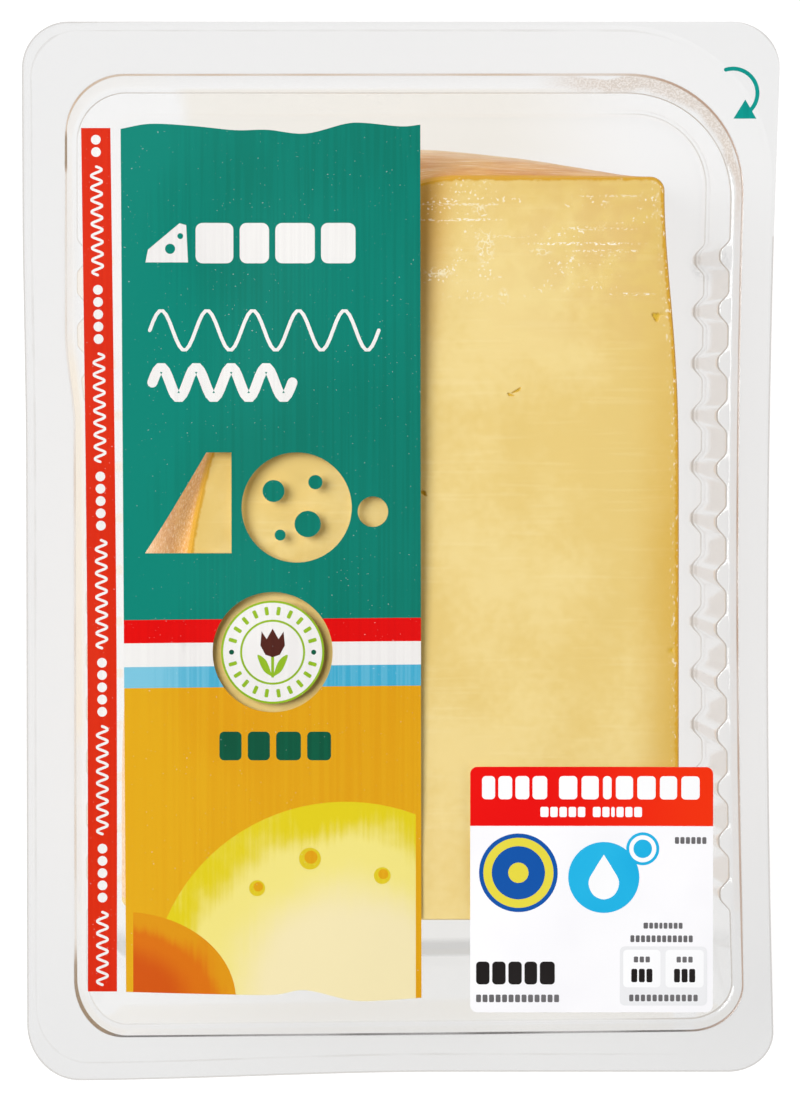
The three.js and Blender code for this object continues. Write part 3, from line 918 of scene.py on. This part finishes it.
# The red strip's middle line and half width, and the printed field by its corners and edges.
STRIP = [(-71.85, 100), (-71.08, 36), (-70.64, -11), (-70.53, -50), (-70.6, -103.9)]
STRIP_HALF = 3.45
FIELD_LEFT_TOP, FIELD_LEFT_LOW, FIELD_RIGHT = -66.0, -65.0, 4.75
FIELD_TOP = [(-66, 99.8), (-59, 101), (-49, 100.5), (-39, 99.5), (-31.5, 99.6), (-22.5, 98.7),
             (-13.1, 101), (-8.4, 101.2), (0, 100.4), (4.6, 100.8)]
FIELD_LOW = [(-65, -104), (-42, -104.6), (-30, -104.7), (-22.5, -103.6), (-11.7, -106),
             (-4, -106), (4.9, -105.4)]
# The lower edges of the green, red, white and blue bands, at the field's left and right.
BAND_EDGES = ((-16.0, -15.45), (-21.5, -20.97), (-27.12, -26.5), (-32.1, -31.5))
BADGE = (-30.3, -23.6)
ARROW, ARROW_RADIUS, ARROW_WIDTH = (78.2, 108.2), 5.75, 0.95


def field_left(y):
    return mix(FIELD_LEFT_TOP, FIELD_LEFT_LOW, (FIELD_TOP[0][1] - y) / 204)


def field_bands():
    """The printed field from its back edge to its front edge: green, red, white, blue, amber."""
    back, front = curve_through(FIELD_TOP), curve_through(FIELD_LOW)
    edges = [back] + [[(field_left(left), left), (FIELD_RIGHT, right)]
                      for left, right in BAND_EDGES] + [front]
    colours = ("green", "red", "white", "blue", "amber")
    return [(INK[colour], np.concatenate([np.array(upper)[::-1], lower]))
            for colour, upper, lower in zip(colours, edges, edges[1:])]


def strip_shapes():
    """The red strip, with rows of dots and wavy lines along it."""
    line = curve_through(STRIP)
    sides = line - (STRIP_HALF, 0), (line + (STRIP_HALF, 0))[::-1]
    shapes = [(INK["strip"], np.concatenate(sides))]
    top, low = STRIP[0][1], STRIP[-1][1]

    def middle(y):
        return np.interp(-y, -line[:, 1], line[:, 0])

    dots, dot_step, dot_radius = 5, 2.9, 1.15
    wave_length, gap, end = 25.5, 2.3, 1.6
    y = top - end
    first = 2
    while y - low > end + dot_step:
        for _ in range(first or dots):
            shapes.append((INK["white"], circle(middle(y), y - dot_radius, dot_radius, 20)))
            y -= dot_step
        first = 0
        y -= gap - dot_step + 2 * dot_radius
        stop = max(y - wave_length, low + end)
        if y - stop < dot_step:
            break
        marks = wave((middle(y), y), (middle(stop), stop), 2.5, 2.9, 0.62)
        shapes.append((INK["white"], marks))
        y = stop - gap
    return shapes


def holed(centre, radius, holes, outer, inner):
    """A disc in one ink with smaller discs of another on it."""
    shapes = [(outer, circle(*centre, radius, 80))]
    for x, y, size in holes:
        hole = circle(centre[0] + x * radius, centre[1] + y * radius, size * radius, 24)
        shapes.append((inner, hole))
    return shapes


def headline_shapes():
    """White marks on the green field, and the clear windows below them."""
    white, green = INK["white"], INK["green"]
    wedge = [(-60.2, 68.4), (-59.6, 71.4), (-52.2, 77.6), (-50.6, 77.2), (-50.2, 68.4)]
    shapes = [(white, wedge), (green, circle(-54.4, 71.6, 1.2, 20)),
              (green, circle(-52.0, 74.6, 0.7, 16))]
    row = blocks(-48.4, -10.7, 68.2, 77.7, [9, 7, 9.4, 8.2], 1.5, 1.6)
    shapes += [(white, polygon) for polygon in row]
    shapes.append((white, wave((-59.2, 52.4), (-5.2, 52.4), 9.4, 10.8, 0.85)))
    shapes.append((white, wave((-58.6, 40.1), (-25.6, 40.1), 7.2, 8.3, 2.4)))

    slant = curve_through([(-60.4, -0.2), (-55, 8.3), (-48, 20), (-45.9, 23.6)])
    shapes.append((CLEAR, np.concatenate([slant, [(-40, 23.6), (-40, -0.2)]])))
    holes = ((-0.42, 0.3, 0.2), (0.34, 0.46, 0.13), (0.2, -0.3, 0.24), (-0.3, -0.5, 0.1))
    shapes += holed((-24.6, 10.6), 13.0, holes, CLEAR, green)
    shapes.append((CLEAR, circle(-6.6, 9.6, 3.6, 36)))
    return shapes


def badge_shapes():
    """A clear ring round a white disc with a ring of dashes and a tulip."""
    x, y = BADGE
    lime, white, brown = INK["lime"], INK["white"], INK["brown"]
    discs = ((CLEAR, 14.2, 90), (lime, 12.2, 90), (white, 11.7, 90), (lime, 7.7, 72),
             (white, 7.2, 72))
    shapes = [(colour, circle(x, y, radius, points)) for colour, radius, points in discs]
    dot, dash = (INK["dark"], circle(9.7, 0, 0.6, 16)), (lime, bar(8.8, -0.45, 10.8, 0.45, 0.3))
    marks = ([dot] + [dash] * 10) * 2
    for number, (colour, mark) in enumerate(marks):
        shapes.append((colour, turned(mark, BADGE, 2 * math.pi * number / len(marks))))
    leaf = curve_through([(0, 0), (2.2, 1.6), (3.6, 5.2), (1.5, 3.9), (0, 0)], 5)[:-1]
    for mirror in (-1, 1):
        shapes.append((lime, (leaf * (mirror, 1) + (x, y - 5.9))[::mirror]))
    shapes.append((lime, bar(x - 0.35, y - 6, x + 0.35, y - 0.5, 0.2)))
    cup = [(-2.6, 4.9), (-1.4, 3.1), (0, 5.6), (1.4, 3.1), (2.6, 4.9), (2.9, 1.6), (1.7, -0.6),
           (0, -1.2), (-1.7, -0.6), (-2.9, 1.6)]
    shapes.append((brown, np.array(cup) + (x, y)))
    return shapes


def lower_shapes():
    """Dark blocks under the badge, and a round hill with discs on the amber field."""
    row = blocks(-42.9, -16.5, -49.2, -42.4, [5, 5, 5.6, 5.4], 1.4, 1.1)
    shapes = [(INK["dark"], polygon) for polygon in row]
    front = curve_through(FIELD_LOW)

    def down_to_edge(centre, size):
        a = np.linspace(0, math.pi, 48)
        line = np.stack([centre[0] + size[0] * np.cos(a), centre[1] + size[1] * np.sin(a)], 1)
        line = line[(line[:, 0] > field_left(-90) + 0.02) & (line[:, 0] < FIELD_RIGHT)]
        x0, x1 = line[-1][0], line[0][0]
        foot = [p for p in front if x0 < p[0] < x1]
        ends = np.interp([x0, x1], front[:, 0], front[:, 1])
        return np.concatenate([line, [(x0, ends[0])], foot, [(x1, ends[1])]])

    shapes += [(INK[name], down_to_edge(*hill[:2])) for name, hill in HILL_INKS.items()]
    for x, y, radius in ((-34, -79.5, 1.9), (-21.5, -72.5, 2.6), (-4.4, -76.5, 2.0)):
        shapes.append((INK["yellow"], circle(x, y, radius, 28)))
        shapes.append((INK["amber"], circle(x + 0.25, y + 0.35, 0.6 * radius, 20)))
    return shapes


def arrow_shapes():
    """The bent arrow on the peel corner."""
    a = np.radians(np.linspace(107, -44, 26))[:, None]
    line = np.array(ARROW) + ARROW_RADIUS * np.concatenate([np.cos(a), np.sin(a)], 1)
    head = [(78.3, 102.2), (83.7, 102.2), (81.1, 106.7)]
    return [(INK["teal"], ribbon(line, ARROW_WIDTH)), (INK["teal"], head)]


def print_shapes():
    """Fields of colour on the film, as (ink, polygon), the later ones on top."""
    return (field_bands() + strip_shapes() + headline_shapes() + badge_shapes() + lower_shapes()
            + arrow_shapes())


def make_film(material):
    outline = rounded(PACK, PACK_CORNERS, np.linspace(-100, 100, 60), 14, 40, PACK_DRAW)
    let_light_through(plate("lid_film", [(0, outline)], film_z, FILM_SKIN, FILM_GRID, [material],
                            "film"))


def make_print(inks):
    def under_film(x, y):
        return film_z(x, y) - FILM_SKIN - PRINT_GAP
    plate("film_print", print_shapes(), under_film, PRINT_SKIN, FILM_GRID, inks,
          backing=INK["backing"])


# ---- label ----------------------------------------------------------------------------------

# The label's inks: the lighter and the darker tone, and the tone at the right.
LABEL_INKS = {
    "red": ((226, 4, 4), (230, 10, 4), (234, 46, 2)),
    "white": ((246, 246, 247), (242, 242, 243)),
    "black": ((24, 20, 20), (34, 30, 30)),
    "dim": ((96, 94, 96), (112, 110, 112)),
    "blue": ((8, 78, 160), (14, 88, 170)),
    "yellow": ((222, 208, 60), (228, 214, 80)),
    "cyan": ((22, 168, 218), (36, 178, 224)),
    "cell": ((228, 228, 230), (232, 232, 234)),
}
LABEL_INK = {name: number for number, name in enumerate(LABEL_INKS)}
HEAD_LOW = -64.7
SEAL_AT, STAMP_AT = (27.8, -75.8), (48, -76.9)


def label_outline():
    return rounded(LABEL, (LABEL_CORNER,) * 4, np.linspace(-106, -54, 18), 8, 18)


def label_shapes():
    """The label's print: a red head with white marks, two round marks and rows of bars."""
    shapes = []

    def add(colour, polygons):
        shapes.extend((LABEL_INK[colour], polygon) for polygon in polygons)

    outline = label_outline()
    above = outline[:, 1] > HEAD_LOW
    start = int(np.argmax(above & ~np.roll(above, 1)))
    head = np.roll(outline, -start, 0)[:above.sum()]
    low = [(LABEL["left"], HEAD_LOW), (LABEL["right"], HEAD_LOW)]
    add("red", [np.concatenate([head, low])])
    add("white", blocks(19.2, 34.6, -58.4, -52.9, [3.2, 3.4, 3.4, 3.6], 0.8, 0.9))
    add("white", blocks(37.4, 70.6, -58.4, -52.9, [3.4, 3.2, 1.6, 3.2, 3.4, 3.2, 3.4], 0.8, 0.9))
    add("white", blocks(33, 43.6, -62.6, -60.2, [2.2, 2, 2, 2, 2], 0.5, 0.4))
    add("white", blocks(45.4, 57, -62.6, -60.2, [2.2, 2, 1, 2, 2, 2.2], 0.5, 0.4))
    for colour, radius in (("blue", 9.3), ("yellow", 8.3), ("blue", 6.3), ("yellow", 2.4)):
        add(colour, [circle(*SEAL_AT, radius, 60)])
    add("cyan", [circle(*STAMP_AT, 8.4, 60)])
    drop = curve_through([(0, 5.4), (2, 2.2), (3.6, -1), (2.6, -4), (0, -5.2), (-2.6, -4),
                          (-3.6, -1), (-2, 2.2), (0, 5.4)], 5)[:-1]
    add("white", [(drop + STAMP_AT)[::-1]])
    add("cyan", [circle(57.2, -70.1, 3.9, 40)])
    add("white", [circle(57.2, -70.1, 3.2, 40)])
    add("cyan", [circle(57.2, -70.1, 2.2, 32)])
    add("dim", blocks(64.8, 72.2, -68.9, -67.3, [1, 1, 1, 1, 1, 1], 0.35, 0.25))
    add("dim", blocks(57.4, 66.6, -89.0, -87.6, [1.2, 1, 1, 0.8, 1, 1, 1, 1], 0.35, 0.25))
    add("dim", blocks(54.3, 69, -92.2, -90.6, [1] * 12, 0.35, 0.25))
    add("black", blocks(17.8, 36.4, -102.2, -96.8, [3.4, 3.4, 3.4, 3.2, 3.8], 0.7, 0.9))
    add("dim", blocks(17.8, 37.4, -106.4, -104.6, [1.2] * 13, 0.4, 0.3))
    add("cell", [bar(51.8, -107.2, 72.4, -93.2, 1.2)])
    for left, right in ((52.6, 61.4), (62.6, 71.6)):
        middle = (left + right) / 2
        add("white", [bar(left, -102.9, right, -94, 0.9)])
        add("dim", blocks(middle - 1.9, middle + 1.9, -97, -95.6, [1, 1, 1], 0.35, 0.25))
        add("black", blocks(middle - 2.5, middle + 2.5, -101.7, -98.5, [1.5, 1.5, 1.5], 0.4, 0.4))
    add("dim", blocks(54, 70.2, -106.2, -104.6, [1.1] * 12, 0.4, 0.3))
    return shapes


def make_label(stock, inks):
    def top(x, y):
        return film_z(x, y) + LABEL_GAP + LABEL_SKIN

    def print_top(x, y):
        return top(x, y) + LABEL_PRINT_LIFT

    plate("label_sheet", [(0, label_outline())], top, LABEL_SKIN, LABEL_GRID, [stock],
          "label")
    plate("label_print", label_shapes(), print_top, LABEL_PRINT_SKIN, LABEL_GRID, inks)


# ---- cheese ---------------------------------------------------------------------------------

def cheese_outlines():
    """The cut face's outline, the flank's outline, and which points have rind beside them."""
    r, c, swell = CHEESE_CORNER, FACE["corner"], FLANK["swell"]
    shoulder = FACE["back"] - c
    back_right = CHEESE_RIGHT - FACE["taper"]
    face_end, flank_end = FACE["left"] + FACE["round_x"], FLANK["left"] + FLANK["round_x"]

    def run(n):
        return np.linspace(0, 1, n, endpoint=False)

    def pair(x, y, x2, y2, has_rind):
        return np.stack(np.broadcast_arrays(x, y, x2, y2, float(has_rind)), 1)

    def arc(cx, cy, rx, ry, a):
        return cx + rx * np.cos(a), cy + ry * np.sin(a)

    t = run(170)
    x = CHEESE_RIGHT - FACE["taper"] * smooth((t - TAPER_FROM) / (1 - TAPER_FROM)) ** 2
    y = mix(CHEESE_FRONT + r, shoulder, t)
    parts = [pair(x, y, x + swell, y, 1)]
    x, y = arc(back_right - c, shoulder, c, c, QUARTER * run(12))
    parts.append(pair(x, y, x + swell, y + swell, 1))
    t = run(50)
    parts.append(pair(mix(back_right - c, face_end, t), FACE["back"],
                      mix(back_right - c, flank_end, t),
                      mix(FACE["back"] + swell, FLANK["back"], np.sin(QUARTER * t)), 1))
    a = QUARTER * (1 + run(150))
    parts.append(pair(
        *arc(face_end, FACE["back"] - FACE["round_y"], FACE["round_x"], FACE["round_y"], a),
        *arc(flank_end, FLANK["back"] - FLANK["round_y"], FLANK["round_x"], FLANK["round_y"], a),
        1))
    t = run(60)
    parts.append(pair(FACE["left"],
                      mix(FACE["back"] - FACE["round_y"], CHEESE_FRONT + r, t),
                      FLANK["left"],
                      mix(FLANK["back"] - FLANK["round_y"], CHEESE_FRONT + r, t), 1))
    x, y = arc(0, CHEESE_FRONT + r, r, r, QUARTER * (2 + run(5)))
    parts.append(pair(x + FACE["left"] + r, y, x + FLANK["left"] + r, y - swell, 0))
    t = run(100)
    parts.append(pair(mix(FACE["left"] + r, CHEESE_RIGHT - r, t), CHEESE_FRONT,
                      mix(FLANK["left"] + r, CHEESE_RIGHT - r, t), CHEESE_FRONT - swell, 0))
    x, y = arc(CHEESE_RIGHT - r, CHEESE_FRONT + r, r, r, QUARTER * (3 + run(5)))
    parts.append(pair(x, y, x, y - swell, 0))
    table = np.concatenate(parts)
    return table[:, 0:2], table[:, 2:4], table[:, 4]


def face_z(y):
    middle = (FACE["back"] + CHEESE_FRONT) / 2
    fall = CHEESE_FALL * (y - middle) / (FACE["back"] - CHEESE_FRONT)
    return CHEESE_FOOT + CHEESE_THICK - fall


def outwards(loop):
    """Unit vectors pointing out of an anticlockwise loop at its points."""
    along = np.roll(loop, -1, 0) - np.roll(loop, 1, 0)
    out = np.stack([along[:, 1], -along[:, 0]], 1)
    return out / np.linalg.norm(out, axis=1, keepdims=True)


def nearest(points, targets):
    """The distance from each point to the nearest target."""
    return np.concatenate([
        np.min(np.hypot(block[:, None, 0] - targets[None, :, 0],
                        block[:, None, 1] - targets[None, :, 1]), axis=1)
        for block in np.array_split(points, max(1, len(points) // 1500))])


# Small holes and cracks of the cut face: x, y, radius along, radius across, turn, depth.
EYES = [(60.4, 55.7, 0.9, 1.1, 0.3, 0.5), (27.5, 38.2, 1.3, 0.3, 0.5, 0.4),
        (25.9, 37.2, 0.8, 0.3, 2.8, 0.4), (5.2, 14.0, 0.5, 1.1, 1.1, 0.6),
        (64.0, -23.4, 0.6, 1.2, 0.2, 0.4)]


def eye_depth(x, y):
    """How deep the cut face is at each point, and 0 to 1 inside an eye."""
    deep, inside = np.zeros_like(x), np.zeros_like(x)
    for ex, ey, rx, ry, turn, depth in EYES:
        c, s = math.cos(turn), math.sin(turn)
        u = ((x - ex) * c + (y - ey) * s) / rx
        v = ((y - ey) * c - (x - ex) * s) / ry
        wobble = 0.2 * np.sin(3 * np.arctan2(v, u) + ex)
        hit = 1 - smooth((np.hypot(u, v) + wobble - 0.6) / 0.55)
        deep = np.maximum(deep, depth * hit)
        inside = np.maximum(inside, hit)
    return deep, inside


def cheese_side():
    """The side of the cheese as rings from its foot to the bevel round the cut face."""
    face, flank, has_rind = cheese_outlines()
    n = len(face)
    levels = np.concatenate([[0, 0.012, 0.04], np.linspace(0.08, 0.96, 34), [0.985, 1]])
    tucked = np.interp(levels, [0, 0.012, 0.04, 0.985, 1], [2.2, 0.9, 0, 0, CHEESE_BEVEL])
    rings = []
    for up, tuck in zip(levels, tucked):
        spot = mix(face, flank, 1 - up ** FLANK_CURVE)
        out = outwards(spot)
        wobble = lump(np.arange(n) * 0.6, np.full(n, up * 40.0), 9.0, 3.0)
        swollen = 0.35 * wobble * math.sin(math.pi * min(1, up * 1.02)) * has_rind
        spot = spot + out * (swollen - tuck)[:, None]
        rings.append(at_height(spot, mix(CHEESE_FOOT, face_z(spot[:, 1]), up)))
    return rings, levels, has_rind


def cut_face_points(rim):
    """Points for the cut face: a grid, finer in the eyes, and rows that follow the rim."""
    def grid(x0, x1, y0, y1, step):
        x, y = np.meshgrid(np.arange(x0, x1, step), np.arange(y0, y1, step))
        return np.stack([x.ravel(), y.ravel()], 1)

    rows = [0.35, 0.8, 1.4, 2.2]
    inner = grid(FACE["left"] + 1, CHEESE_RIGHT, CHEESE_FRONT + 1, FACE["back"], 1.5)
    for ex, ey, rx, ry, _, _ in EYES:
        reach = 1.4 * max(rx, ry)
        inner = np.concatenate([inner, grid(ex - reach, ex + reach, ey - reach, ey + reach, 0.15)])
    inner = inner[is_inside(rim, inner[:, 0], inner[:, 1])]
    inner = inner[nearest(inner, rim) > rows[-1] + 0.4]
    out = outwards(rim)
    for number, row in enumerate(rows):
        points = (rim - out * row)[::1 + number // 2]
        points = points[is_inside(rim, points[:, 0], points[:, 1])]
        inner = np.concatenate([inner, points[nearest(points, rim) > 0.93 * row]])
    return inner


def make_cheese(cut, skin):
    rings, levels, has_rind = cheese_side()
    n = len(has_rind)
    side = np.concatenate(rings)
    faces = list(ring_faces(len(rings), n)) + [np.arange(n)[::-1]]
    by_rind = (has_rind + np.roll(has_rind, -1)) / 2 > 0.6
    ids = list(np.tile(by_rind, len(rings) - 1).astype(int)) + [0]

    rim = rings[-1][:, :2]
    flat, triangles = triangulate([rim], cut_face_points(rim))
    middle = flat[triangles].mean(1)
    triangles = triangles[is_inside(rim, middle[:, 0], middle[:, 1])]
    deep, inside = eye_depth(flat[:, 0], flat[:, 1])
    to_rim = nearest(flat, rim)
    relief = 0.18 * lump(flat[:, 0], flat[:, 1], 16.0, 7.0) * smooth(to_rim / 2)
    top = at_height(flat, face_z(flat[:, 1]) - deep + relief)
    points = np.concatenate([side, top])
    piece = make_piece("cheese_piece", points, faces + list(triangles + len(side)), [cut, skin],
                       "cheese", ids + [0] * len(triangles))
    rinded = rim[has_rind > 0.5]
    add_attribute(piece, "rind_depth", nearest(points[:, :2], rinded))
    add_attribute(piece, "hollow", np.concatenate([np.zeros(len(side)), inside]))
    add_attribute(piece, "up", np.concatenate([np.repeat(levels, n), np.ones(len(top))]))
    crisp(piece, 38, join=0.002)


# ---- stage: floor, light and camera ---------------------------------------------------------

# Where the photograph was taken from: over a point towards the back, looking at the middle.
CAMERA_BACK = 40.6
CAMERA_HEIGHT = 1335
CAMERA_SIDE = -0.2
FRAME_PIXELS, PIXEL = 1105, 0.236  # the photograph's height, and a pixel on the film's plane
SENSOR = 36

# Metres and watts, as Blender takes them.
KEY = {"spot": (-0.8, 0.34, 1.25), "size": (0.9, 0.95), "power": 22.4}
FILL = {"spot": (1.25, -0.2, 1.0), "size": (0.8, 1.2), "power": 4.8}
AIM_HEIGHT = 0.04
FLOOR_HALF, FLOOR_Z = 3.0, -0.0004
FLOOR_GLOW = 0.92
# The sky's strength falls from the first to the second value between two heights.
SKY_GLOW, SKY_HEIGHTS = (0.94, 0.04), (0.25, 0.92)


def make_camera():
    data = bpy.data.cameras.new("view")
    camera = add_object("view", data)
    spot = Vector((CAMERA_SIDE, CAMERA_BACK, FLANGE_TOP + CAMERA_HEIGHT)) * MM
    target = Vector((CAMERA_SIDE, 0, FLANGE_TOP)) * MM
    forward = (target - spot).normalized()
    right = Vector((1, 0, 0))
    turn = Matrix((right, right.cross(forward), -forward)).transposed()
    camera.matrix_world = Matrix.Translation(spot) @ turn.to_4x4()
    data.sensor_width = SENSOR
    data.lens = SENSOR * (target - spot).length / (FRAME_PIXELS * PIXEL * MM)
    bpy.context.scene.camera = camera


def make_floor():
    """A white light table: it glows and takes faint shadows."""
    s = Shader("light_table")
    glow = s.node("Emission", Color=grey(1), Strength=FLOOR_GLOW).outputs[0]
    white = s.node("BsdfDiffuse", Color=s.blend(s.noise(300, 2.0), grey(0.15), grey(0.18)))
    both = s.node("AddShader", first=(glow, white.outputs[0]))
    corners = [(x * FLOOR_HALF, y * FLOOR_HALF, FLOOR_Z)
               for x, y in ((-1, -1), (1, -1), (1, 1), (-1, 1))]
    mesh = bpy.data.meshes.new("floor")
    mesh.from_pydata(corners, [], [(0, 1, 2, 3)])
    mesh.materials.append(s.done(both.outputs[0]))
    add_object("floor", mesh)


def make_light(name, spot, size, power):
    data = bpy.data.lights.new(name, "AREA")
    data.shape = "RECTANGLE"
    data.size, data.size_y = size
    data.energy = power
    aim = Vector(spot) - Vector((0, 0, AIM_HEIGHT))
    turn = aim.to_track_quat("Z", "Y").to_matrix().to_4x4()
    add_object(name, data).matrix_world = Matrix.Translation(spot) @ turn


def make_world():
    """Soft light from all round, brightest near the horizon and dark overhead."""
    world = bpy.data.worlds.new("studio")
    world.use_nodes = True
    tree = world.node_tree
    tree.nodes.clear()
    spot, split, fade, glow, out = (tree.nodes.new("ShaderNode" + kind) for kind in (
        "TexCoord", "SeparateXYZ", "MapRange", "Background", "OutputWorld"))
    for socket, value in zip(("From Min", "From Max", "To Min", "To Max"), SKY_HEIGHTS + SKY_GLOW):
        fade.inputs[socket].default_value = value
    for source, target in ((spot.outputs["Generated"], split.inputs[0]),
                           (split.outputs[2], fade.inputs["Value"]),
                           (fade.outputs[0], glow.inputs["Strength"]),
                           (glow.outputs[0], out.inputs[0])):
        tree.links.new(source, target)
    bpy.context.scene.world = world
    bpy.context.scene.view_settings.view_transform = "Standard"


# ---- making it all --------------------------------------------------------------------------

make_camera()
make_floor()
make_light("key", **KEY)
make_light("fill", **FILL)
make_world()
make_tray(tray_plastic())
make_cheese(cut_cheese(), rind())
make_film(film_plastic())
make_print([ink("ink_" + name, *tones) for name, tones in INKS.items()]
           + [hill_ink("ink_" + name, *hill) for name, hill in HILL_INKS.items()])
make_label(paper("label_stock", (245, 244, 246), (240, 239, 242)),
           [paper("label_" + name, *tones) for name, tones in LABEL_INKS.items()])
